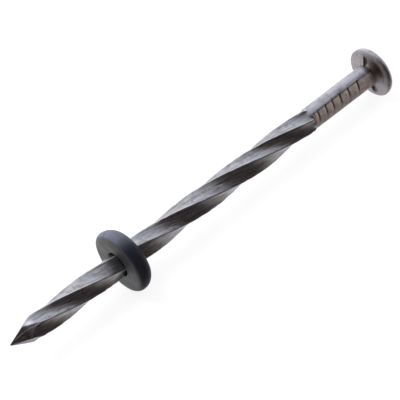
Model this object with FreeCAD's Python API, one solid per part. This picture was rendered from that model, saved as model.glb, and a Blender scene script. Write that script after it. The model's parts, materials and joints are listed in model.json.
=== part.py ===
import FreeCAD, Part
import math
import os

# A screw-shank nail with a domed rubber sealing washer, lying along X with its head at +X and +Z up.
# The origin is on the axis, in the plane where the shank meets the underside of the head.
# Angles around the axis are in degrees, from +Z towards -Y, so they follow the right hand about +X.

# Wire and overall length
WIRE_DIA = 4.5
LENGTH = 88.9

# Head: a flat underside, a small corner radius at the rim and a domed top with a flat in the middle
HEAD_DIA = 10.1
HEAD_THICKNESS = 2.4
HEAD_UNDERSIDE_RISE = 0.08
HEAD_RIM_RADIUS = 0.35
HEAD_RIM_TOP = 0.6
HEAD_FACE_DIA = 5.2
NECK_FILLET = 0.6

# Webs that the gap between the gripper dies leaves under the head
WEB_ANGLE = -27.0
WEB_HEIGHT = 0.65
WEB_REACH = 4.7
WEB_THICKNESS = 0.22
WEB_ROOT = 0.5

# Gripper marks: slanted V notches on the two sides that the dies held
NOTCH_ANGLE = WEB_ANGLE + 90.0
NOTCH_FIRST = 4.1
NOTCH_PITCH = 2.03
NOTCH_COUNT = 6
NOTCH_DEPTH = 0.17
NOTCH_WIDTH = 0.34
NOTCH_SPREAD = 84.0
NOTCH_SLANT = 13.0

# Twisted shank: five narrow crests with slightly hollow faces between them
NECK_LENGTH = 15.6
CREST_DIA = 4.95
FLUTE_DIA = 3.84
CREST_LAND = 4.0
RIDGES = 5
LEAD = 63.0
CREST_STATION = -56.7
CREST_ANGLE = 27.1
STATION_SPACING = 2.0
CREST_RUNOUT = 0.6
FLUTE_RUNOUT = 0.8
RUNOUT_OVERLAP = 0.15

# Point: a four-sided pyramid
POINT_FACETS = 4
POINT_HALF_ANGLE = 20.8
POINT_FACET_ANGLE = 22.0
POINT_BLUNTNESS = 0.3

# Rubber washer: its flat face is towards the point and its domed side towards the head
WASHER_DIA = 12.9
WASHER_THICKNESS = 3.7
WASHER_TO_POINT = 25.4
WASHER_CLEARANCE = 0.05
WASHER_FACE_RADIUS = 1.1
WASHER_DOME_RADIUS = 2.5
WASHER_LIP_RADIUS = 0.15

AXIS = FreeCAD.Vector(1, 0, 0)
UP = FreeCAD.Vector(0, 0, 1)
ORIGIN = FreeCAD.Vector(0, 0, 0)
FULL_TURN = 360.0
HALF_TURN = 180.0
DIAGONAL = math.cos(math.radians(45))
WIRE_R = WIRE_DIA / 2
HEAD_R = HEAD_DIA / 2
CREST_R = CREST_DIA / 2
FLUTE_R = FLUTE_DIA / 2
SPARE = 1.0


def radial(angle):
    """The unit vector that points away from the axis at an angle."""
    turn = math.radians(angle)
    return FreeCAD.Vector(0, -math.sin(turn), math.cos(turn))


def around(x, radius, angle):
    """A point at a place along the axis, a radius and an angle."""
    return FreeCAD.Vector(x, 0, 0) + radial(angle) * radius


def in_profile(x, radius):
    """A point of a turned profile, drawn in the half plane above the axis."""
    return FreeCAD.Vector(x, 0, radius)


def line(a, b):
    return Part.LineSegment(a, b).toShape()


def arc(a, through, b):
    return Part.Arc(a, through, b).toShape()


def polygon_edges(corners):
    return [line(a, b) for a, b in zip(corners, corners[1:])]


def turned(edges):
    """The solid that a closed profile makes when it turns once around the axis."""
    profile = Part.Face(Part.Wire(edges))
    return profile.revolve(ORIGIN, AXIS, FULL_TURN)


def turned_polygon(corners):
    return turned(polygon_edges(corners + corners[:1]))


def crest_angle(x):
    return CREST_ANGLE + FULL_TURN * (x - CREST_STATION) / LEAD


def shank_section(x):
    """The outline of the twisted shank: a land on each crest and a hollow arc to the next."""
    step = FULL_TURN / RIDGES
    land = CREST_LAND / 2
    edges = []
    for ridge in range(RIDGES):
        middle = crest_angle(x) + ridge * step
        start = around(x, CREST_R, middle - land)
        top = around(x, CREST_R, middle)
        end = around(x, CREST_R, middle + land)
        hollow = around(x, FLUTE_R, middle + step / 2)
        following = around(x, CREST_R, middle + step - land)
        edges.append(arc(start, top, end))
        edges.append(arc(end, hollow, following))
    return Part.Wire(edges)


def twisted_shank():
    """The lofted twist, a little longer than needed at the point, with its crests run out at the neck."""
    low = -LENGTH - SPARE
    high = -NECK_LENGTH
    count = math.ceil((high - low) / STATION_SPACING)
    stations = [low + (high - low) * i / count for i in range(count + 1)]
    twist = Part.makeLoft([shank_section(x) for x in stations], True, False)
    slope = (CREST_R - WIRE_R) / CREST_RUNOUT
    runout_start = high - CREST_RUNOUT - SPARE / slope
    envelope = turned_polygon([
        in_profile(low - SPARE, 0),
        in_profile(low - SPARE, CREST_R + SPARE),
        in_profile(runout_start, CREST_R + SPARE),
        in_profile(high + RUNOUT_OVERLAP, WIRE_R - RUNOUT_OVERLAP * slope),
        in_profile(high + RUNOUT_OVERLAP, 0),
    ])
    return twist.common(envelope)


def bend(x, radius, size, start, end):
    """An arc of a turned profile round a centre, between two directions: 0 is +X and 90 is outwards."""
    angles = [math.radians(a) for a in (start, (start + end) / 2, end)]
    points = [in_profile(x + size * math.cos(a), radius + size * math.sin(a)) for a in angles]
    return arc(*points)


def neck_and_head():
    """The plain wire, the fillet under the head and the head, turned in one profile."""
    slope = (WIRE_R - FLUTE_R) / FLUTE_RUNOUT
    core_x = -NECK_LENGTH - FLUTE_RUNOUT - RUNOUT_OVERLAP / slope
    core_r = FLUTE_R - RUNOUT_OVERLAP
    rim_r = HEAD_R - HEAD_RIM_RADIUS
    rim_low = HEAD_UNDERSIDE_RISE + HEAD_RIM_RADIUS
    face_r = HEAD_FACE_DIA / 2
    dome_width = (HEAD_R - face_r) * DIAGONAL
    dome_height = (HEAD_THICKNESS - HEAD_RIM_TOP) * DIAGONAL
    dome = in_profile(HEAD_RIM_TOP + dome_height, face_r + dome_width)
    return turned([
        line(in_profile(core_x, 0), in_profile(core_x, core_r)),
        line(in_profile(core_x, core_r), in_profile(-NECK_LENGTH, WIRE_R)),
        line(in_profile(-NECK_LENGTH, WIRE_R), in_profile(-NECK_FILLET, WIRE_R)),
        bend(-NECK_FILLET, WIRE_R + NECK_FILLET, NECK_FILLET, -90, 0),
        line(in_profile(0, WIRE_R + NECK_FILLET), in_profile(HEAD_UNDERSIDE_RISE, rim_r)),
        bend(rim_low, rim_r, HEAD_RIM_RADIUS, 180, 90),
        line(in_profile(rim_low, HEAD_R), in_profile(HEAD_RIM_TOP, HEAD_R)),
        arc(in_profile(HEAD_RIM_TOP, HEAD_R), dome, in_profile(HEAD_THICKNESS, face_r)),
        line(in_profile(HEAD_THICKNESS, face_r), in_profile(HEAD_THICKNESS, 0)),
        line(in_profile(HEAD_THICKNESS, 0), in_profile(core_x, 0)),
    ])


def point_envelope():
    """A long pyramid whose apex lies just past the blunt point and whose base is past the head."""
    apex_x = -LENGTH - POINT_BLUNTNESS
    base_x = HEAD_THICKNESS + SPARE
    step = FULL_TURN / POINT_FACETS
    apothem = (base_x - apex_x) * math.tan(math.radians(POINT_HALF_ANGLE))
    corner_r = apothem / math.cos(math.radians(step / 2))
    apex = FreeCAD.Vector(apex_x, 0, 0)
    first = POINT_FACET_ANGLE + step / 2
    corners = [around(base_x, corner_r, first + step * i) for i in range(POINT_FACETS)]
    faces = []
    for a, b in zip(corners, corners[1:] + corners[:1]):
        faces.append(Part.Face(Part.makePolygon([apex, a, b, apex])))
    faces.append(Part.Face(Part.makePolygon(corners + corners[:1])))
    pyramid = Part.Solid(Part.Shell(faces))
    return pyramid.cut(point_blunting())


def point_blunting():
    """The block that takes the last sharp sliver off the point."""
    size = 2 * SPARE
    corner = FreeCAD.Vector(-LENGTH - size, -SPARE, -SPARE)
    return Part.makeBox(size, size, size, corner)


def web(angle):
    """A thin triangular web between the neck and the underside of the head."""
    inside = WIRE_R - WEB_ROOT
    corners = [
        in_profile(-WEB_HEIGHT, inside),
        in_profile(-WEB_HEIGHT, WIRE_R),
        in_profile(HEAD_UNDERSIDE_RISE, WEB_REACH),
        in_profile(HEAD_RIM_TOP, WEB_REACH),
        in_profile(HEAD_RIM_TOP, inside),
    ]
    face = Part.Face(Part.Wire(polygon_edges(corners + corners[:1])))
    face.translate(FreeCAD.Vector(0, -WEB_THICKNESS / 2, 0))
    plate = face.extrude(FreeCAD.Vector(0, WEB_THICKNESS, 0))
    plate.rotate(ORIGIN, AXIS, angle)
    return plate


def notch(x, angle):
    """The cutter of one gripper mark: part of a V ring, tilted so that the mark slants."""
    floor_r = WIRE_R - NOTCH_DEPTH
    mouth_r = WIRE_R + NOTCH_DEPTH
    mouth_half = NOTCH_WIDTH
    corners = [in_profile(0, floor_r), in_profile(mouth_half, mouth_r), in_profile(-mouth_half, mouth_r)]
    face = Part.Face(Part.Wire(polygon_edges(corners + corners[:1])))
    face.rotate(ORIGIN, AXIS, -NOTCH_SPREAD / 2)
    ring = face.revolve(ORIGIN, AXIS, NOTCH_SPREAD)
    ring.rotate(ORIGIN, UP, NOTCH_SLANT)
    ring.rotate(ORIGIN, AXIS, angle)
    ring.translate(FreeCAD.Vector(x, 0, 0))
    return ring


def notches():
    """The cutters of both rows. Their sides spread so that a mark is NOTCH_WIDTH wide at the surface."""
    cutters = []
    for i in range(NOTCH_COUNT):
        x = -NOTCH_FIRST - i * NOTCH_PITCH
        cutters.append(notch(x, NOTCH_ANGLE))
        cutters.append(notch(x, NOTCH_ANGLE + HALF_TURN))
    return cutters


def spike():
    body = neck_and_head().fuse(twisted_shank())
    body = body.fuse([web(WEB_ANGLE), web(WEB_ANGLE + HALF_TURN)])
    body = body.cut(notches())
    return body.common(point_envelope())


def seal_washer():
    """The rubber ring, turned: flat with a small corner radius at one end and domed at the other."""
    low = -LENGTH + WASHER_TO_POINT
    high = low + WASHER_THICKNESS
    outer = WASHER_DIA / 2
    inner = CREST_R + WASHER_CLEARANCE
    corner = WASHER_FACE_RADIUS
    dome = WASHER_DOME_RADIUS
    lip = WASHER_LIP_RADIUS
    return turned([
        line(in_profile(low, inner + lip), in_profile(low, outer - corner)),
        bend(low + corner, outer - corner, corner, 180, 90),
        line(in_profile(low + corner, outer), in_profile(high - dome, outer)),
        bend(high - dome, outer - dome, dome, 90, 0),
        line(in_profile(high, outer - dome), in_profile(high, inner + lip)),
        bend(high - lip, inner + lip, lip, 0, -90),
        line(in_profile(high - lip, inner), in_profile(low + lip, inner)),
        bend(low + lip, inner + lip, lip, -90, -180),
    ])


def main():
    os.makedirs("parts", exist_ok=True)
    for name, shape in (("spike", spike()), ("seal_washer", seal_washer())):
        solids = shape.Solids
        print(name, "solids", len(solids), "valid", shape.isValid(), "volume", round(shape.Volume, 2))
        solids[0].exportStep("parts/" + name + ".step")


main()
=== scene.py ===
import itertools
import json
import math

import bpy
import numpy as np
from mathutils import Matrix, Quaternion, Vector


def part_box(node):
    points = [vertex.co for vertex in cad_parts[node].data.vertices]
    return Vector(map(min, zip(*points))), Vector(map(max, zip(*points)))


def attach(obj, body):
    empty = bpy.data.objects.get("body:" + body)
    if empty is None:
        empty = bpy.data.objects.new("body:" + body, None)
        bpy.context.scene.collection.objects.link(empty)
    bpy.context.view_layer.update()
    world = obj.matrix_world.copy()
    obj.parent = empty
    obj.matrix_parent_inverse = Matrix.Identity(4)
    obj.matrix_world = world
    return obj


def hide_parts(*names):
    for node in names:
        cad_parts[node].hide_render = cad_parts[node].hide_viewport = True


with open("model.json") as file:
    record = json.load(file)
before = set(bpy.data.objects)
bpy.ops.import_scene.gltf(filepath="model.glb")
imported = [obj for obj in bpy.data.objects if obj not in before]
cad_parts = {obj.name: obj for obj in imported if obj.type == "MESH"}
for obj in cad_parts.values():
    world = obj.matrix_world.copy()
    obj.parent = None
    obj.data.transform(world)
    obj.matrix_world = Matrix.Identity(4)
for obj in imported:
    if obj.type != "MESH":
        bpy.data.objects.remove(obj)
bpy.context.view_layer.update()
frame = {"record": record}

# A screw-shank nail with a rubber sealing washer. It lies along X with its head at +X, and the origin is
# where the shank meets the underside of the head. Angles go round the axis from +Z towards -Y, in degrees.

MM = 0.001

# Sizes that the frame gives
spike_low, spike_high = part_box("spike")
washer_low, washer_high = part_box("seal_washer")
mounts = {m["name"]: m for m in frame["record"]["mounts"]}
POINT_X = spike_low[0]
HEAD_TOP_X = spike_high[0]
HEAD_R = spike_high[2]
CREST_R = mounts["driven_shank"]["dims"]["r_mm"] * MM
WASHER_R = washer_high[2]
WASHER_FACE_X = washer_low[0]
WASHER_THICKNESS = washer_high[0] - washer_low[0]

# Sizes of the CAD model's own features
WIRE_R = 2.25 * MM
FLUTE_R = 1.92 * MM
CREST_LAND = 4.0
LEAD = 63.0 * MM
NECK_X = -15.6 * MM
CREST_RUNOUT = 0.6 * MM
FLUTE_RUNOUT = 0.8 * MM
NECK_FILLET = 0.6 * MM
POINT_HALF_ANGLE = 20.8
POINT_FACET_ANGLE = 22.0
POINT_BLUNTNESS = 0.3 * MM
HEAD_RIM_RADIUS = 0.35 * MM
HEAD_UNDERSIDE_RISE = 0.08 * MM
HEAD_RIM_TOP = 0.6 * MM
HEAD_FACE_R = 2.6 * MM
WEB_ANGLE = -27.0
WEB_HEIGHT = 0.65 * MM
WEB_REACH = 4.7 * MM
NOTCH_ANGLE = WEB_ANGLE + 90.0
NOTCH_SLANT = 13.0
WASHER_CLEARANCE = 0.05 * MM
WASHER_FACE_RADIUS = 1.1 * MM
WASHER_DOME_RADIUS = 2.5 * MM

# The side that faces the camera, and where along the twist a crest is on that side
FRONT_ANGLE = 27.1
CREST_STATION = -56.7 * MM

# How far each crest lies from its even spacing, in degrees
CREST_DRIFT = (0.0, 6.0, 1.0, -6.0, -1.5)

# The gripper marks, not quite evenly spaced: the place of each along the neck in mm, and its strength
NOTCHES = (
    (-4.2, 1.15), (-6.6, 0.95), (-8.7, 1.05), (-10.65, 0.95), (-12.4, 0.9), (-14.35, 1.0), (-15.3, 0.35),
)

# The point's last stretch leans a little, because its dies don't meet quite in the middle
POINT_LEAN = 0.13 * MM
POINT_LEAN_ANGLE = -62.9
POINT_LEAN_LENGTH = 4.5 * MM

# The head's front is a little nearer +X than its back, and its top a little lower than the CAD model's
HEAD_LEAN = 2.8
HEAD_TOP_DROP = 0.18 * MM

# The washer sits a little out of square: its side at this angle is nearer the point
WASHER_TILT = 1.95
WASHER_TILT_ANGLE = -26.0


# ---------------------------------------------------------------- helpers

NOISE_CELLS = 32


def radial(angle):
    """The unit vector that points away from the axis at an angle in degrees."""
    turned = math.radians(angle)
    return Vector((0, -math.sin(turned), math.cos(turned)))


def placed(x, r, angle):
    """Points at places along the axis, radii and angles in degrees."""
    turned = np.radians(angle)
    return np.stack([x, -r * np.sin(turned), r * np.cos(turned)], axis=-1)


def wrapped(angle, period):
    """An angle brought within half a period of zero."""
    return (angle + period / 2) % period - period / 2


def smooth_step(value, low, high):
    """0 below one value and 1 above another, with a smooth change between them."""
    t = np.clip((value - low) / (high - low), 0, 1)
    return t * t * (3 - 2 * t)


def hump(value, width):
    """1 where a value is zero, falling smoothly to about 0 at twice a width."""
    return np.exp(-((value / width) ** 2))


def soft_min(a, b, width):
    """The smaller of two lengths, with the corner between them rounded over a width."""
    h = np.clip(0.5 + 0.5 * (b - a) / width, 0, 1)
    return b * (1 - h) + a * h - width * h * (1 - h)


def soft_max(a, b, width):
    """The larger of two lengths, rounded in the same way."""
    return -soft_min(-a, -b, width)


def noise(points, size, seed):
    """Smooth seeded noise from -1 to 1 at an array of points, with features of a size."""
    lattice = np.random.default_rng(seed).uniform(-1, 1, (NOISE_CELLS,) * 3)
    scaled = points / size
    corner = np.floor(scaled).astype(int)
    part = scaled - corner
    part = part * part * (3 - 2 * part)
    total = np.zeros(points.shape[:-1])
    for step in itertools.product((0, 1), repeat=3):
        index = (corner + step) % NOISE_CELLS
        weight = np.abs(1 - np.array(step) - part).prod(axis=-1)
        total += weight * lattice[index[..., 0], index[..., 1], index[..., 2]]
    return total


def link(obj):
    bpy.context.scene.collection.objects.link(obj)
    return obj


def grid_object(name, rings, closed_profile, poles=()):
    """A watertight mesh from an array of rings of points. A closed profile joins the last ring to the
    first, and otherwise each of the two poles closes an end with a fan."""
    count, around = rings.shape[:2]
    points = rings.reshape(-1, 3)
    last = count if closed_profile else count - 1
    faces = []
    for k in range(last):
        low = k * around
        high = ((k + 1) % count) * around
        for j in range(around):
            following = (j + 1) % around
            faces.append((low + j, low + following, high + following, high + j))
    if poles:
        start = len(points)
        points = np.vstack([points, poles])
        top = (count - 1) * around
        for j in range(around):
            following = (j + 1) % around
            faces.append((start, following, j))
            faces.append((start + 1, top + j, top + following))
    mesh = bpy.data.meshes.new(name)
    mesh.from_pydata(points.tolist(), [], faces)
    mesh.validate()
    mesh.shade_smooth()
    return link(bpy.data.objects.new(name, mesh))


def store(obj, name, values):
    """Stores three values at each point, which a material can read by name. Poles left out get 0."""
    values = values.reshape(-1, 3)
    padded = np.zeros((len(obj.data.vertices), 3), np.float32)
    padded[: len(values)] = values
    attribute = obj.data.attributes.new(name, "FLOAT_VECTOR", "POINT")
    attribute.data.foreach_set("vector", padded.ravel())


def bend(x, r, size, start, end, count):
    """Points of a profile's round corner: 0 is +X and 90 is outwards."""
    angles = np.radians(np.linspace(start, end, count))
    return np.column_stack([x + size * np.cos(angles), r + size * np.sin(angles)])


def straight(a, b, count):
    """Points of a profile's straight stretch, without its end."""
    return np.linspace(a, b, count, endpoint=False)


# ---------------------------------------------------------------- spike: its grid

CRESTS = 5
SECTOR = 360.0 / CRESTS
COLUMNS = 150

# How much closer together the columns are at crests and webs, and within how many degrees
CREST_CROWDING, CREST_CROWDING_WIDTH = 2.2, 5.0
WEB_CROWDING, WEB_CROWDING_WIDTH = 2.5, 3.5

# Spacing of the rings along the point, the twist, the runout, the neck and the root of the neck
POINT_RINGS = 0.11 * MM
TWIST_RINGS = 0.24 * MM
RUNOUT_RINGS = 0.07 * MM
NECK_RINGS = 0.075 * MM
ROOT_RINGS = 0.12 * MM


def drift(column):
    """How far the twist's columns lie from their even spacing."""
    places = np.arange(CRESTS + 1) * SECTOR
    return np.interp(column % 360.0, places, CREST_DRIFT + CREST_DRIFT[:1])


def crest_angle(x):
    """The angle of the first crest. From the neck on, the columns run straight."""
    return FRONT_ANGLE + 360.0 * (np.minimum(x, NECK_X) - CREST_STATION) / LEAD


def spike_columns():
    """Angles of the grid's columns from the first crest, closer together at the crests and at the webs."""
    fine = np.arange(0, 360, 0.1)
    from_crest = wrapped(fine, SECTOR)
    from_web = wrapped(fine + drift(fine) + crest_angle(NECK_X) - WEB_ANGLE, 180.0)
    at_crest = CREST_CROWDING * hump(from_crest, CREST_CROWDING_WIDTH)
    at_web = WEB_CROWDING * hump(from_web, WEB_CROWDING_WIDTH)
    total = np.cumsum(1 + at_crest + at_web)
    return np.interp(np.arange(COLUMNS) / COLUMNS * total[-1], total, fine)


def shank_stations():
    """Places along the axis for the grid's rings, closer together where the detail is finer."""
    point_end = POINT_X + 7.5 * MM
    runout_start = NECK_X - 2.4 * MM
    runout_end = NECK_X + 0.6 * MM
    root_start = -3.2 * MM
    stretches = (
        (POINT_X, point_end, POINT_RINGS),
        (point_end, runout_start, TWIST_RINGS),
        (runout_start, runout_end, RUNOUT_RINGS),
        (runout_end, root_start, NECK_RINGS),
        (root_start, -WEB_HEIGHT, ROOT_RINGS),
    )
    return np.concatenate([straight(a, b, max(1, round((b - a) / step))) for a, b, step in stretches])


# ---------------------------------------------------------------- spike: the shank

CREST_ROUNDING = 0.09 * MM
RUNOUT_ROUNDING = 0.08 * MM
RUNOUT_LEAST_R = 0.5 * MM
POINT_ROUNDING = 0.06 * MM
LEAST_R = 0.02 * MM

# The gripper dies press this far to each side of NOTCH_ANGLE and of the opposite side
DIE_REACH = 40.0
DIE_EDGE = 1.5
DIE_FLAT = 0.06 * MM

# The gripper marks and the burrs beside them
GROOVE_DEPTH = 0.20 * MM
GROOVE_HALF_WIDTH = 0.28 * MM
GROOVE_SHIFT = 0.9 * MM
GROOVE_FADE = 0.8
GROOVE_FADE_ANGLE = 14.0
GROOVE_ENDS = (38.0, 46.0)
BURR_HEIGHT = 0.05 * MM
BURR_OFFSET = 0.42 * MM
BURR_WIDTH = 0.20 * MM

# Depth of each kind of small mark, and the size of its features. Streaks are drawn out along the wire, and
# nicks stay within a few degrees of a crest. Dents and nicks are made only where their noise is high.
STREAKS = (0.010 * MM, 0.16 * MM)
WAVES = (0.022 * MM, 1.7 * MM)
DENTS = (0.030 * MM, 0.55 * MM)
NICKS = (0.055 * MM, 0.8 * MM)
STREAK_STRETCH = 9
NICK_WIDTH = 4.5
DENT_LEVELS = (0.35, 0.8)
NICK_LEVELS = (-0.2, 0.9)

# The marks fade away between these distances from the point
MARKS_FADE = (0.3 * MM, 2.5 * MM)


def along_neck(x, before, after):
    """0 on the twist and 1 on the neck, changing between these distances in mm from where they meet."""
    return smooth_step(x, NECK_X - before * MM, NECK_X + after * MM)


def twisted_radius(from_crest):
    """Radius of the twisted section at an angle from its nearest crest: a narrow land, then a hollow."""
    half_face = math.radians(SECTOR / 2 - CREST_LAND / 2)
    reach = (CREST_R**2 - FLUTE_R**2) / (2 * (CREST_R * math.cos(half_face) - FLUTE_R))
    bow = reach - FLUTE_R
    from_hollow = np.radians(np.clip(SECTOR / 2 - np.abs(from_crest), 0, None))
    hollow = reach * np.cos(from_hollow) - np.sqrt(bow**2 - (reach * np.sin(from_hollow)) ** 2)
    return soft_min(hollow, np.full_like(hollow, CREST_R), CREST_ROUNDING)


def point_radius(x, angle):
    """Radius of the four facets at the point."""
    depth = (x - POINT_X + POINT_BLUNTNESS) * math.tan(math.radians(POINT_HALF_ANGLE))
    return depth / np.cos(np.radians(wrapped(angle - POINT_FACET_ANGLE, 90.0)))


def shank_radius(x, angle, from_crest):
    """Radius of the shank's surface, from the point to the neck."""
    crests = CREST_R + (WIRE_R - CREST_R) * (x - NECK_X + CREST_RUNOUT) / CREST_RUNOUT
    twist = soft_min(twisted_radius(from_crest), np.maximum(crests, RUNOUT_LEAST_R), RUNOUT_ROUNDING)
    flutes = WIRE_R + (WIRE_R - FLUTE_R) * np.minimum(x - NECK_X, 0) / FLUTE_RUNOUT
    radius = np.where(x > NECK_X + 0.3 * MM, WIRE_R, soft_max(twist, flutes, RUNOUT_ROUNDING))
    return soft_min(radius, point_radius(x, angle), POINT_ROUNDING)


def die_zone(angle):
    """1 where the gripper dies pressed the wire, 0 in the gaps between them."""
    from_die = np.abs(wrapped(angle - NOTCH_ANGLE, 180.0))
    return 1 - smooth_step(from_die, DIE_REACH - DIE_EDGE, DIE_REACH + DIE_EDGE)


def gripper_marks(x, angle):
    """The grooves of the gripper marks, and the burrs that they threw up towards the point, up to about 1.
    Each mark is deeper on one side of its die than on the other."""
    grooves, burrs = np.zeros_like(x), np.zeros_like(x)
    slope = math.tan(math.radians(NOTCH_SLANT))
    for side in (0.0, 180.0):
        from_die = wrapped(angle - NOTCH_ANGLE - side, 360.0)
        across = WIRE_R * np.sin(np.radians(np.clip(from_die, -90, 90)))
        fade = GROOVE_FADE * smooth_step(from_die, -GROOVE_FADE_ANGLE, GROOVE_FADE_ANGLE)
        zone = (1 - smooth_step(np.abs(from_die), *GROOVE_ENDS)) * (1 - fade)
        for place, strength in NOTCHES:
            away = x - place * MM + (across + GROOVE_SHIFT) * slope
            grooves += zone * strength * np.clip(1 - np.abs(away) / GROOVE_HALF_WIDTH, 0, 1)
            burrs += zone * strength * hump(away + BURR_OFFSET, BURR_WIDTH)
    return grooves, burrs


def shank_relief(x, r, angle, from_crest, column):
    """Small changes of radius: drawing streaks, waves, dents, nicks in the crests and marks of the dies."""
    grain = placed(x / STREAK_STRETCH, r, column)
    here = placed(x, r, angle)
    on_crest = hump(from_crest, NICK_WIDTH) * (x < NECK_X)
    relief = STREAKS[0] * noise(grain, STREAKS[1], 1)
    relief += WAVES[0] * noise(here, WAVES[1], 2)
    relief -= DENTS[0] * smooth_step(noise(here, DENTS[1], 3), *DENT_LEVELS)
    relief -= NICKS[0] * on_crest * smooth_step(noise(here, NICKS[1], 4), *NICK_LEVELS)
    relief -= DIE_FLAT * die_zone(angle) * along_neck(x, 0, 0.3)
    grooves, burrs = gripper_marks(x, angle)
    relief -= (GROOVE_DEPTH * grooves - BURR_HEIGHT * burrs) * along_neck(x, 0.2, 0.2)
    return relief * smooth_step(x - POINT_X, *MARKS_FADE)


def leaned(points):
    """Points moved by the point's lean."""
    share = np.clip((POINT_X + POINT_LEAN_LENGTH - points[..., 0]) / POINT_LEAN_LENGTH, 0, 1)
    return points + share[..., None] ** 1.5 * POINT_LEAN * np.array(radial(POINT_LEAN_ANGLE))


# ---------------------------------------------------------------- spike: the head

# The webs' half thickness, where their sides start and end as shares of it, and the bow of their edges
WEB_HALF_THICKNESS = 0.11 * MM
WEB_SIDE = (0.5, 1.9)
WEB_BOW = 1.25

# The rim's inset from the CAD model's, then the depth of each kind of unevenness with its features' size
RIM_INSET = 0.03 * MM
RIM_WOBBLE = (0.04 * MM, 3.1 * MM)
HEAD_DENTS = (0.02 * MM, 1.1 * MM)
HEAD_PITS = (0.012 * MM, 0.35 * MM)

# How far out from the wire the head takes on its full lean
LEAN_SPREAD = 1.2 * MM


def head_profile():
    """(x, r) from the last of the neck over the underside, rim and dome to the middle of the top."""
    rim_r = HEAD_R - HEAD_RIM_RADIUS
    rim_low = HEAD_UNDERSIDE_RISE + HEAD_RIM_RADIUS
    quarter = np.linspace(0, math.pi / 2, 30, endpoint=False)
    dome_x = HEAD_RIM_TOP + (HEAD_TOP_X - HEAD_RIM_TOP) * np.sin(quarter)
    dome_r = HEAD_FACE_R + (HEAD_R - HEAD_FACE_R) * np.cos(quarter)
    return np.concatenate([
        straight((-WEB_HEIGHT, WIRE_R), (-NECK_FILLET, WIRE_R), 3),
        bend(-NECK_FILLET, WIRE_R + NECK_FILLET, NECK_FILLET, -90, 0, 10)[:-1],
        straight((0, WIRE_R + NECK_FILLET), (HEAD_UNDERSIDE_RISE, rim_r), 18),
        bend(rim_low, rim_r, HEAD_RIM_RADIUS, 180, 90, 8)[:-1],
        straight((rim_low, HEAD_R), (HEAD_RIM_TOP, HEAD_R), 2),
        np.column_stack([dome_x, dome_r]),
        straight((HEAD_TOP_X, HEAD_FACE_R), (HEAD_TOP_X, 0.1 * MM), 14),
    ])


def with_webs(x, r, angle):
    """Pulls the underside's rings out to the edge of the two webs between neck and head."""
    span = np.concatenate([[0], np.cumsum(np.hypot(np.diff(x[:, 0]), np.diff(r[:, 0])))])
    last = np.searchsorted(r[:, 0], WEB_REACH)
    share = np.clip(span / span[last], 0, 1)[:, None]
    edge_x = -WEB_HEIGHT + (HEAD_UNDERSIDE_RISE + WEB_HEIGHT) * share
    edge_r = WIRE_R + (WEB_REACH - WIRE_R) * share**WEB_BOW
    off = np.abs(wrapped(angle - WEB_ANGLE, 180.0))
    width = np.degrees(WEB_HALF_THICKNESS / np.maximum(r, WIRE_R))
    weight = (1 - smooth_step(off / width, *WEB_SIDE)) * (share < 1)
    return x + (edge_x - x) * weight, r + (edge_r - r) * weight


# ---------------------------------------------------------------- spike: what its material reads

# Painted shade fills the grooves. It also covers one side of the neck's root and of the head's underside,
# standing for the dark reflections between neck and head.
GROOVE_SHADE = 1.5
SHADED_SIDE_ANGLE = 32.0
ROOT_SHADE, ROOT_SHADE_WIDTH = 0.75, 55.0
ROOT_STARTS = (-1.7 * MM, -0.8 * MM)
HEAD_SHADE_WIDTH = 58.0
HEAD_SHADE_FADE = 0.42
HEAD_FADE_STARTS = WIRE_R + 1.6 * MM

# A painted shadow in the corner on one side of each web, and the scale on the rest of the underside
CORNER_SHADOW = 0.9
CORNER_STARTS = (-3.0, 1.0)
CORNER_ENDS = (9.0, 24.0)
UNDERSIDE_SCALE = 0.60

# Between these distances from the point its dark stain fades out
STAIN_FADE = (3.2 * MM, 4.6 * MM)

# A crest is painted lighter over a few degrees, as wear and a painted highlight, and a spot where the first
# crest meets the point's facets has a painted glint
CREST_WEAR_AND_HIGHLIGHT_WIDTH = 3.0
GLINT_ANGLE = -14.0
GLINT_FROM_POINT = 4.7 * MM
GLINT_WIDTH = 20.0
GLINT_LENGTH = 0.75 * MM


def shank_marks(x, angle, from_crest):
    """How far each place of the shank is die-pressed, painted with shade, and painted lighter (wear and a
    painted highlight on the crests, a painted glint at the point).
    """
    on_neck = along_neck(x, 0.1, 0.2)
    pressed = die_zone(angle) * on_neck
    # Painted shade: the gripper marks' grooves are darkened
    grooves = np.clip(GROOVE_SHADE * gripper_marks(x, angle)[0], 0, 1) * on_neck
    # Painted shade on one side of the neck's root, where it meets the head
    from_shaded_side = wrapped(angle - SHADED_SIDE_ANGLE, 360.0)
    root = smooth_step(x, *ROOT_STARTS) * hump(from_shaded_side, ROOT_SHADE_WIDTH)
    painted_shade = np.maximum(grooves, ROOT_SHADE * root)
    # Lighter along each crest: wear and a painted highlight
    crests = hump(from_crest, CREST_WEAR_AND_HIGHLIGHT_WIDTH) * (1 - on_neck)
    # A painted highlight: a glint where the first crest meets the point's facets
    glint_across = wrapped(angle - GLINT_ANGLE, 360.0) / GLINT_WIDTH
    glint_along = (x - POINT_X - GLINT_FROM_POINT) / GLINT_LENGTH
    wear_and_highlight = np.maximum(crests, hump(np.hypot(glint_across, glint_along), 1.0))
    return np.stack([pressed, painted_shade, wear_and_highlight], axis=-1)


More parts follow.
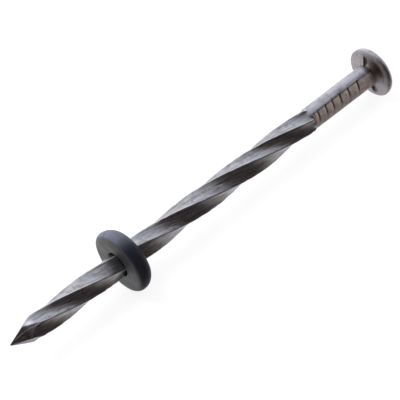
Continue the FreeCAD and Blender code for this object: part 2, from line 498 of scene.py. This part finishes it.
def head_marks(profile, r, angle):
    """The same for the head: its underside is dull, with painted shade beside the neck and a painted shadow
    in the webs' corners.
    """
    below = 1 - smooth_step(profile[:, :1], HEAD_UNDERSIDE_RISE + 0.05 * MM, HEAD_RIM_TOP)
    # Painted shade on one side of the underside beside the neck, standing for the neck's dark reflection
    side = hump(wrapped(angle - SHADED_SIDE_ANGLE, 360.0), HEAD_SHADE_WIDTH)
    core = side * (1 - HEAD_SHADE_FADE * smooth_step(r, HEAD_FADE_STARTS, HEAD_R))
    # Painted shadow in the corner on one side of each web
    from_web = wrapped(angle - WEB_ANGLE, 180.0) * np.sign(np.cos(np.radians(angle - WEB_ANGLE)))
    corner = smooth_step(from_web, *CORNER_STARTS) * (1 - smooth_step(from_web, *CORNER_ENDS))
    corner = corner * (1 - smooth_step(r, 0.75 * WEB_REACH, WEB_REACH))
    painted_shade = np.clip(np.maximum(core, CORNER_SHADOW * corner), 0, 1) * below
    neck_end = WIRE_R + 0.1 * MM
    pressed = np.maximum(die_zone(angle) * (r < neck_end), UNDERSIDE_SCALE * (r > neck_end)) * below
    return np.stack([pressed, painted_shade, 0 * painted_shade], axis=-1)


def spike_zones(x, burrs):
    """Where the spike is twisted, where it is the point, and its burrs."""
    tip = 1 - smooth_step(x - POINT_X, *STAIN_FADE)
    return np.stack([1 - along_neck(x, 0.2, 0.1), tip, burrs], axis=-1)


# ---------------------------------------------------------------- spike: assembly

def build_shank(columns):
    """The shank's rings of points, and the grain, marks and burrs at each point."""
    stations = shank_stations()
    column = np.broadcast_to(columns, (len(stations), len(columns)))
    x = np.broadcast_to(stations[:, None], column.shape)
    angle = column + drift(column) + crest_angle(x)
    from_crest = wrapped(column, SECTOR)
    r = shank_radius(x, angle, from_crest)
    r = np.maximum(r + shank_relief(x, r, angle, from_crest, column), LEAST_R)
    burrs = gripper_marks(x, angle)[1] * (x > NECK_X)
    marks = shank_marks(x, angle, from_crest)
    return leaned(placed(x, r, angle)), placed(x, r, column), marks, burrs


def build_head(columns):
    """The same for the head, from the last of the neck to its top."""
    profile = head_profile()
    column = np.broadcast_to(columns, (len(profile), len(columns)))
    x = np.broadcast_to(profile[:, :1], column.shape)
    r = np.broadcast_to(profile[:, 1:], column.shape)
    angle = column + drift(column) + crest_angle(NECK_X)
    wobble = RIM_WOBBLE[0] * noise(placed(x * 0, r, angle), RIM_WOBBLE[1], 5)
    r = r - smooth_step(r, WIRE_R, HEAD_R) * (RIM_INSET + wobble)
    x, r = with_webs(x, r, angle)
    here = placed(x, r, angle)
    dents = HEAD_DENTS[0] * noise(here, HEAD_DENTS[1], 6) + HEAD_PITS[0] * noise(here, HEAD_PITS[1], 8)
    lean = r * np.cos(np.radians(angle - FRONT_ANGLE)) * math.tan(math.radians(HEAD_LEAN))
    x = x + dents + lean * smooth_step(r, WIRE_R, WIRE_R + LEAN_SPREAD)
    x = x - HEAD_TOP_DROP * smooth_step(profile[:, :1], HEAD_RIM_TOP, HEAD_TOP_X)
    marks = head_marks(profile, r, angle)
    return placed(x, r, angle), placed(x, r, column), marks, np.zeros_like(x)


def build_spike():
    columns = spike_columns()
    both = zip(build_shank(columns), build_head(columns))
    rings, grain, marks, burrs = (np.vstack(pair) for pair in both)
    poles = [tuple(leaned(np.array([POINT_X, 0, 0]))), (HEAD_TOP_X - HEAD_TOP_DROP, 0, 0)]
    obj = grid_object("spike_body", rings, False, poles)
    store(obj, "grain", np.vstack([grain.reshape(-1, 3), poles]))
    store(obj, "marks", marks)
    store(obj, "zones", spike_zones(rings[..., 0], burrs))
    return obj


# ---------------------------------------------------------------- washer

WASHER_LIP_RADIUS = 0.2 * MM
WASHER_COLUMNS = 180

# The outside's inset from the CAD model's, and the depth of each kind of unevenness with its features' size
WASHER_INSET = 0.02 * MM
RING_WAVES = (0.02 * MM, 2.9 * MM)
RING_GRAIN = (0.010 * MM, 0.5 * MM)
FACE_WAVES = (0.03 * MM, 2.1 * MM)
FACE_GRAIN = (0.01 * MM, 0.45 * MM)

# How far out from the crests the washer takes on its full tilt
TILT_SPREAD = 1.5 * MM

# The flat face's dust is much thinner towards the front, and the face is painted darker towards the bottom
# as painted shade. The dust ends at the face's rounded edge, between these shares of the edge's radius.
FRONT_THINNING_WIDTH = 58.0
FRONT_THINNING_SHARE = 0.75
FACE_SHADE_TOWARDS_BOTTOM = 0.13
DUST_ENDS = (0.04, 0.34)

# Where the rim's painted sheen starts and ends, on its upper side, in degrees from the front
SHEEN_STARTS = (4.0, 62.0)
SHEEN_ENDS = (100.0, 150.0)


def washer_profile():
    """(x, r) round the ring's section from its flat face, closed."""
    hole = CREST_R + WASHER_CLEARANCE
    lip = WASHER_LIP_RADIUS
    corner = WASHER_FACE_RADIUS
    dome = WASHER_DOME_RADIUS
    high = WASHER_THICKNESS
    return np.concatenate([
        straight((0, hole + lip), (0, WASHER_R - corner), 26),
        bend(corner, WASHER_R - corner, corner, 180, 90, 10)[:-1],
        straight((corner, WASHER_R), (high - dome, WASHER_R), 4),
        bend(high - dome, WASHER_R - dome, dome, 90, 0, 30)[:-1],
        straight((high, WASHER_R - dome), (high, hole + lip), 10),
        bend(high - lip, hole + lip, lip, 0, -90, 6)[:-1],
        straight((high - lip, hole), (lip, hole), 12),
        bend(lip, hole + lip, lip, -90, -180, 6)[:-1],
    ])


def washer_dust_and_sheen(profile, angle):
    """What the rubber reads: the flat face's pale dusting, with painted shade towards the bottom, and the
    rim's painted sheen.
    """
    on_face = 1 - smooth_step(profile[:, :1] / WASHER_FACE_RADIUS, *DUST_ENDS)
    from_front = wrapped(angle - FRONT_ANGLE, 360.0)
    # Less dust towards the front
    front_thinning = FRONT_THINNING_SHARE * hump(from_front, FRONT_THINNING_WIDTH)
    # Painted shade: the face gets less dust, so it is darker, towards the bottom
    top_to_bottom_shade = 1 - FACE_SHADE_TOWARDS_BOTTOM * (1 - np.cos(np.radians(from_front + 90.0)))
    # Painted sheen on the upper side of the rim
    painted_sheen = smooth_step(-from_front, *SHEEN_STARTS) * (1 - smooth_step(-from_front, *SHEEN_ENDS))
    dust_and_painted_light = on_face * (1 - front_thinning) * top_to_bottom_shade
    return np.stack([dust_and_painted_light, painted_sheen * (1 - on_face), 0 * dust_and_painted_light], axis=-1)


def build_washer():
    profile = washer_profile()
    columns = np.linspace(0, 360, WASHER_COLUMNS, endpoint=False)
    angle = np.broadcast_to(columns, (len(profile), len(columns)))
    x = np.broadcast_to(profile[:, :1], angle.shape)
    r = np.broadcast_to(profile[:, 1:], angle.shape)
    from_hole = smooth_step(r, CREST_R, WASHER_R)
    here = placed(x, r, angle)
    ring = RING_WAVES[0] * noise(here, RING_WAVES[1], 21) + RING_GRAIN[0] * noise(here, RING_GRAIN[1], 22)
    face = FACE_WAVES[0] * noise(here, FACE_WAVES[1], 23) + FACE_GRAIN[0] * noise(here, FACE_GRAIN[1], 24)
    r = r - from_hole * (WASHER_INSET + ring)
    tilt = r * np.cos(np.radians(angle - WASHER_TILT_ANGLE)) * math.tan(math.radians(WASHER_TILT))
    x = x + from_hole * face - tilt * smooth_step(r, CREST_R, CREST_R + TILT_SPREAD)
    obj = grid_object("washer_ring", placed(x + WASHER_FACE_X, r, angle), True)
    store(obj, "dust_and_painted_light", washer_dust_and_sheen(profile, angle))
    return obj


# ---------------------------------------------------------------- materials

# Ramps of colour, as pairs of a place and a colour
DRAWN_STEEL = ((0.3, (0.46, 0.45, 0.46)), (0.7, (0.70, 0.69, 0.71)))
POLISHED_STEEL = ((0.34, (0.29, 0.277, 0.268)), (0.66, (0.68, 0.68, 0.69)))
BROWN_STAIN = ((0.3, (0.16, 0.12, 0.11)), (0.75, (0.34, 0.27, 0.25)))
TAN_SCALE = ((0.34, (0.20, 0.145, 0.118)), (0.66, (0.68, 0.52, 0.435)))
RUBBER = ((0.3, (0.006, 0.006, 0.012)), (0.72, (0.014, 0.015, 0.027)))
DUST = ((0.3, (0.155, 0.150, 0.130)), (0.7, (0.235, 0.228, 0.200)))
# Painted sheen on the rim's upper side
RIM_SHEEN = ((0.3, (0.20, 0.205, 0.27)), (0.7, (0.30, 0.31, 0.39)))

SCORCHED_POINT = (0.055, 0.042, 0.038, 1)
# A painted highlight on the burrs beside the gripper marks
BURR_HIGHLIGHT = (0.72, 0.60, 0.50, 1)
# Painted shade, for the grooves, the neck's root and the head's underside
PAINTED_SHADE_COLOUR = (0.060, 0.036, 0.028, 1)
# Wear and a painted highlight on the crests, and a painted glint at the point
WEAR_AND_HIGHLIGHT_STEEL = (0.86, 0.85, 0.86, 1)

# How much each effect covers where it is strongest
POINT_STAIN = 0.95
POINT_SCORCH = 0.25
BURR_SHINE = 0.7

# The grain's patterns are drawn out along the wire by a smaller scale in X
GRAIN_SCALE = (0.06, 1.0, 1.0)


class Graph:
    """The node tree of a material or of the world, with a short method for each kind of node. What a method
    takes is either the output of another node or a constant."""

    def __init__(self, owner):
        owner.use_nodes = True
        self.nodes = owner.node_tree.nodes
        self.links = owner.node_tree.links

    def feed(self, value, socket):
        if isinstance(value, bpy.types.NodeSocket):
            self.links.new(value, socket)
        else:
            socket.default_value = value

    def output(self, kind, name):
        """An output of a new node that takes nothing."""
        return self.nodes.new(kind).outputs[name]

    def attribute(self, name):
        node = self.nodes.new("ShaderNodeAttribute")
        node.attribute_name = name
        return node.outputs["Vector"]

    def split(self, vector):
        node = self.nodes.new("ShaderNodeSeparateXYZ")
        self.feed(vector, node.inputs[0])
        return node.outputs

    def vector_math(self, operation, a, b, result):
        node = self.nodes.new("ShaderNodeVectorMath")
        node.operation = operation
        self.feed(a, node.inputs[0])
        self.feed(b, node.inputs[1])
        return node.outputs[result]

    def math(self, operation, a, b):
        node = self.nodes.new("ShaderNodeMath")
        node.operation = operation
        self.feed(a, node.inputs[0])
        self.feed(b, node.inputs[1])
        return node.outputs[0]

    def times(self, a, b):
        return self.math("MULTIPLY", a, b)

    def plus(self, a, b):
        return self.math("ADD", a, b)

    def noise(self, vector, scale, detail, roughness=0.6):
        node = self.nodes.new("ShaderNodeTexNoise")
        node.inputs["Scale"].default_value = scale
        node.inputs["Detail"].default_value = detail
        node.inputs["Roughness"].default_value = roughness
        self.feed(vector, node.inputs["Vector"])
        return node.outputs["Fac"]

    def ramp(self, value, stops):
        """A colour ramp from (place, colour) stops."""
        node = self.nodes.new("ShaderNodeValToRGB")
        elements = node.color_ramp.elements
        while len(elements) < len(stops):
            elements.new(0.5)
        for element, (place, colour) in zip(elements, stops):
            element.position = place
            element.color = (*colour, 1)
        self.feed(value, node.inputs["Fac"])
        return node.outputs["Color"]

    def mix(self, share, a, b, blend="MIX"):
        """A colour that goes from a to b as the share goes from 0 to 1."""
        node = self.nodes.new("ShaderNodeMix")
        node.data_type = "RGBA"
        node.blend_type = blend
        self.feed(share, node.inputs[0])
        self.feed(a, node.inputs[6])
        self.feed(b, node.inputs[7])
        return node.outputs[2]

    def remap(self, value, low, high, to_low, to_high):
        node = self.nodes.new("ShaderNodeMapRange")
        self.feed(value, node.inputs["Value"])
        limits = {"From Min": low, "From Max": high, "To Min": to_low, "To Max": to_high}
        for name, number in limits.items():
            node.inputs[name].default_value = number
        return node.outputs["Result"]

    def bump(self, height, strength, distance, onto=None):
        node = self.nodes.new("ShaderNodeBump")
        node.inputs["Strength"].default_value = strength
        node.inputs["Distance"].default_value = distance
        self.feed(height, node.inputs["Height"])
        if onto is not None:
            self.feed(onto, node.inputs["Normal"])
        return node.outputs["Normal"]


def new_material(name):
    """A material, its graph and its shader."""
    material = bpy.data.materials.new(name)
    graph = Graph(material)
    return material, graph, graph.nodes["Principled BSDF"]


def steel_material():
    """Bright-drawn steel gone dull: streaks along the twist, brown stain, small pits, a dark point, tan
    scale where the gripper dies pressed, and painted shade in their marks, at the neck's root and under the
    head. Painted highlights lighten the burrs, a spot at the point and the crests, which also show wear."""
    material, graph, shader = new_material("drawn_steel")
    place = graph.output("ShaderNodeTexCoord", "Object")
    pressed, painted_shade, wear_and_highlight = graph.split(graph.attribute("marks"))
    twisted, tip, burr_highlight = graph.split(graph.attribute("zones"))
    along = graph.vector_math("MULTIPLY", graph.attribute("grain"), GRAIN_SCALE, "Vector")
    streaks = graph.noise(along, scale=5200.0, detail=3.0)
    bands = graph.noise(along, scale=1300.0, detail=4.0)
    mottle = graph.noise(place, scale=700.0, detail=6.0, roughness=0.7)
    speckle = graph.noise(place, scale=4200.0, detail=3.0, roughness=0.7)
    patches = graph.noise(place, scale=1500.0, detail=2.0)

    drawn = graph.ramp(bands, DRAWN_STEEL)
    polished = graph.ramp(streaks, POLISHED_STEEL)
    bare = graph.mix(twisted, drawn, polished)
    blotches = graph.remap(mottle, 0.50, 0.68, 0.0, 0.6)
    stained = graph.math("MAXIMUM", blotches, graph.times(tip, POINT_STAIN))
    steel = graph.mix(stained, bare, graph.ramp(speckle, BROWN_STAIN))
    steel = graph.mix(graph.times(tip, POINT_SCORCH), steel, SCORCHED_POINT)

    scale = graph.ramp(graph.plus(graph.times(speckle, 0.4), graph.times(patches, 0.6)), TAN_SCALE)
    scaled = graph.times(pressed, graph.remap(mottle, 0.30, 0.60, 0.95, 0.60))
    coated = graph.mix(scaled, steel, scale)
    # Painted highlight on the burrs
    coated = graph.mix(graph.times(burr_highlight, BURR_SHINE), coated, BURR_HIGHLIGHT)
    # Painted shade in the gripper marks, at the neck's root and under the head
    coated = graph.mix(painted_shade, coated, PAINTED_SHADE_COLOUR)
    # Wear and a painted highlight on the crests, and a painted glint at the point
    graph.feed(graph.mix(wear_and_highlight, coated, WEAR_AND_HIGHLIGHT_STEEL), shader.inputs["Base Color"])

    rough = graph.remap(streaks, 0.25, 0.75, 0.22, 0.36)
    rough = graph.plus(rough, graph.remap(mottle, 0.45, 0.75, 0.0, 0.22))
    graph.feed(graph.plus(rough, graph.times(scaled, 0.3)), shader.inputs["Roughness"])
    graph.feed(graph.math("SUBTRACT", 1.0, graph.times(scaled, 0.75)), shader.inputs["Metallic"])
    fine = graph.bump(streaks, 0.35, 0.03 * MM)
    graph.feed(graph.bump(speckle, 0.30, 0.02 * MM, fine), shader.inputs["Normal"])
    return material


def rubber_material():
    """Moulded black rubber with a pale dusting on its flat face and a bluish painted sheen on one side of
    its rim.
    """
    material, graph, shader = new_material("black_rubber")
    place = graph.output("ShaderNodeTexCoord", "Object")
    dust_and_painted_light, painted_sheen, _ = graph.split(graph.attribute("dust_and_painted_light"))
    cloud = graph.noise(place, scale=420.0, detail=5.0, roughness=0.65)
    speckle = graph.noise(place, scale=5200.0, detail=3.0, roughness=0.7)

    # Painted sheen on the rim's upper side
    sheen_share = graph.times(painted_sheen, graph.remap(cloud, 0.3, 0.7, 1.0, 0.6))
    # The face's dust, with its painted shade towards the bottom
    dust_with_shade = graph.times(dust_and_painted_light, graph.remap(cloud, 0.3, 0.7, 1.0, 0.65))
    rim = graph.mix(sheen_share, graph.ramp(cloud, RUBBER), graph.ramp(speckle, RIM_SHEEN))
    graph.feed(graph.mix(dust_with_shade, rim, graph.ramp(speckle, DUST)), shader.inputs["Base Color"])

    graph.feed(graph.remap(cloud, 0.3, 0.7, 0.42, 0.6), shader.inputs["Roughness"])
    shader.inputs["Specular IOR Level"].default_value = 0.35
    coarse = graph.bump(cloud, 0.3, 0.08 * MM)
    graph.feed(graph.bump(speckle, 0.4, 0.03 * MM, coarse), shader.inputs["Normal"])
    return material


# ---------------------------------------------------------------- stage, light and camera

FLOOR_HALF_SIZE = 1.5
FLOOR_GREY = (0.35, 0.35, 0.35, 1)
FLOOR_GLOW = 0.80

# The studio's brightness by how far a direction points to the bright side, from -1 to 1
BRIGHT_SIDE = (0.0, 0.944, -0.330)
ROOM = (
    (-0.52, (0.042, 0.032, 0.033)),
    (-0.42, (0.150, 0.130, 0.133)),
    (-0.28, (0.360, 0.355, 0.385)),
    (-0.08, (0.480, 0.490, 0.560)),
    (0.42, (0.760, 0.800, 0.920)),
    (0.78, (1.000, 1.020, 1.100)),
)
# The brightness of the pale table below, by how far a direction points down
TABLE = (
    (0.0, (0.0, 0.0, 0.0)),
    (0.3, (0.10, 0.09, 0.085)),
    (0.6, (0.28, 0.265, 0.255)),
    (0.9, (0.62, 0.60, 0.59)),
)
SOFT_FILL = (0.60, 0.60, 0.62, 1)
BACKDROP = (1.0, 1.0, 1.0, 1)

# The light above and behind
LIGHT_PLACE = (-0.25, 0.35, 0.55)
LIGHT_SIZE = 0.35
LIGHT_POWER = 2.2
LIGHT_COLOUR = (0.95, 0.97, 1.0)

# The camera looks down on the spike from the point's side, so that the head recedes
VIEW_AZIMUTH = -43.0
VIEW_ELEVATION = 55.0
CAMERA_DISTANCE = 0.6022
CAMERA_ROLL = 0.15
LENS = 297.0
AIM = Vector((-42.97, 0.279, 0.145)) * MM


def floor_material():
    """A matt pale floor, which only the camera sees glow."""
    material, graph, shader = new_material("pale_floor")
    shader.inputs["Base Color"].default_value = FLOOR_GREY
    shader.inputs["Roughness"].default_value = 0.9
    glow = graph.nodes.new("ShaderNodeEmission")
    glow.inputs["Strength"].default_value = FLOOR_GLOW
    lit = graph.nodes.new("ShaderNodeAddShader")
    graph.feed(shader.outputs[0], lit.inputs[0])
    graph.feed(glow.outputs[0], lit.inputs[1])
    choice = graph.nodes.new("ShaderNodeMixShader")
    graph.feed(graph.output("ShaderNodeLightPath", "Is Camera Ray"), choice.inputs[0])
    graph.feed(shader.outputs[0], choice.inputs[1])
    graph.feed(lit.outputs[0], choice.inputs[2])
    graph.feed(choice.outputs[0], graph.nodes["Material Output"].inputs["Surface"])
    return material


def build_floor():
    """A flat floor that touches the rims of washer and head, so it rises slightly towards the head."""
    washer_x = WASHER_FACE_X + WASHER_FACE_RADIUS
    slope = (WASHER_R - HEAD_R) / (HEAD_RIM_TOP - washer_x)
    size = FLOOR_HALF_SIZE
    sides = ((-size, -size), (size, -size), (size, size), (-size, size))
    corners = [(x, y, -WASHER_R + (x - washer_x) * slope) for x, y in sides]
    mesh = bpy.data.meshes.new("floor")
    mesh.from_pydata(corners, [], [(0, 1, 2, 3)])
    mesh.materials.append(floor_material())
    floor = link(bpy.data.objects.new("floor", mesh))
    floor.visible_glossy = False


def build_world():
    """Soft studio light that comes mostly from behind the spike: shiny surfaces see it fade from pale
    behind to dark brown in front and overhead. The camera sees a plain pale backdrop."""
    world = bpy.data.worlds.new("studio")
    bpy.context.scene.world = world
    graph = Graph(world)
    direction = graph.output("ShaderNodeTexCoord", "Generated")
    towards = graph.vector_math("DOT_PRODUCT", direction, BRIGHT_SIDE, "Value")
    stops = [(0.5 + side / 2, colour) for side, colour in ROOM]
    room = graph.ramp(graph.remap(towards, -1.0, 1.0, 0.0, 1.0), stops)
    table = graph.ramp(graph.remap(graph.split(direction)[2], 0.0, -1.0, 0.0, 1.0), TABLE)
    reflected = graph.mix(1.0, room, table, "LIGHTEN")
    light = graph.mix(graph.output("ShaderNodeLightPath", "Is Glossy Ray"), SOFT_FILL, reflected)
    seen = graph.mix(graph.output("ShaderNodeLightPath", "Is Camera Ray"), light, BACKDROP)
    graph.feed(seen, graph.nodes["Background"].inputs["Color"])


def build_light():
    data = bpy.data.lights.new("overhead", "AREA")
    data.size = LIGHT_SIZE
    data.energy = LIGHT_POWER
    data.color = LIGHT_COLOUR
    light = link(bpy.data.objects.new("overhead", data))
    light.location = LIGHT_PLACE
    light.visible_glossy = False
    light.rotation_mode = "QUATERNION"
    light.rotation_quaternion = (AIM - light.location).to_track_quat("-Z", "Y")


def build_camera():
    azimuth, elevation = math.radians(VIEW_AZIMUTH), math.radians(VIEW_ELEVATION)
    level = math.cos(elevation)
    back = Vector((math.sin(azimuth) * level, -math.cos(azimuth) * level, math.sin(elevation)))
    data = bpy.data.cameras.new("camera")
    data.lens = LENS
    data.sensor_width = 36.0
    data.clip_start = 0.01
    data.clip_end = 10.0
    camera = link(bpy.data.objects.new("camera", data))
    camera.location = AIM + back * CAMERA_DISTANCE
    camera.rotation_mode = "QUATERNION"
    roll = Quaternion((0, 0, 1), math.radians(CAMERA_ROLL))
    camera.rotation_quaternion = (-back).to_track_quat("-Z", "Y") @ roll
    bpy.context.scene.camera = camera


# ---------------------------------------------------------------- assembly

def add_piece(obj, node, material):
    """Gives a piece its material, and says which body it rides, which node it replaces."""
    obj.data.materials.append(material)
    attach(obj, node)
    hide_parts(node)


bpy.context.scene.view_settings.view_transform = "Standard"
add_piece(build_spike(), "spike", steel_material())
add_piece(build_washer(), "seal_washer", rubber_material())
build_floor()
build_world()
build_light()
build_camera()
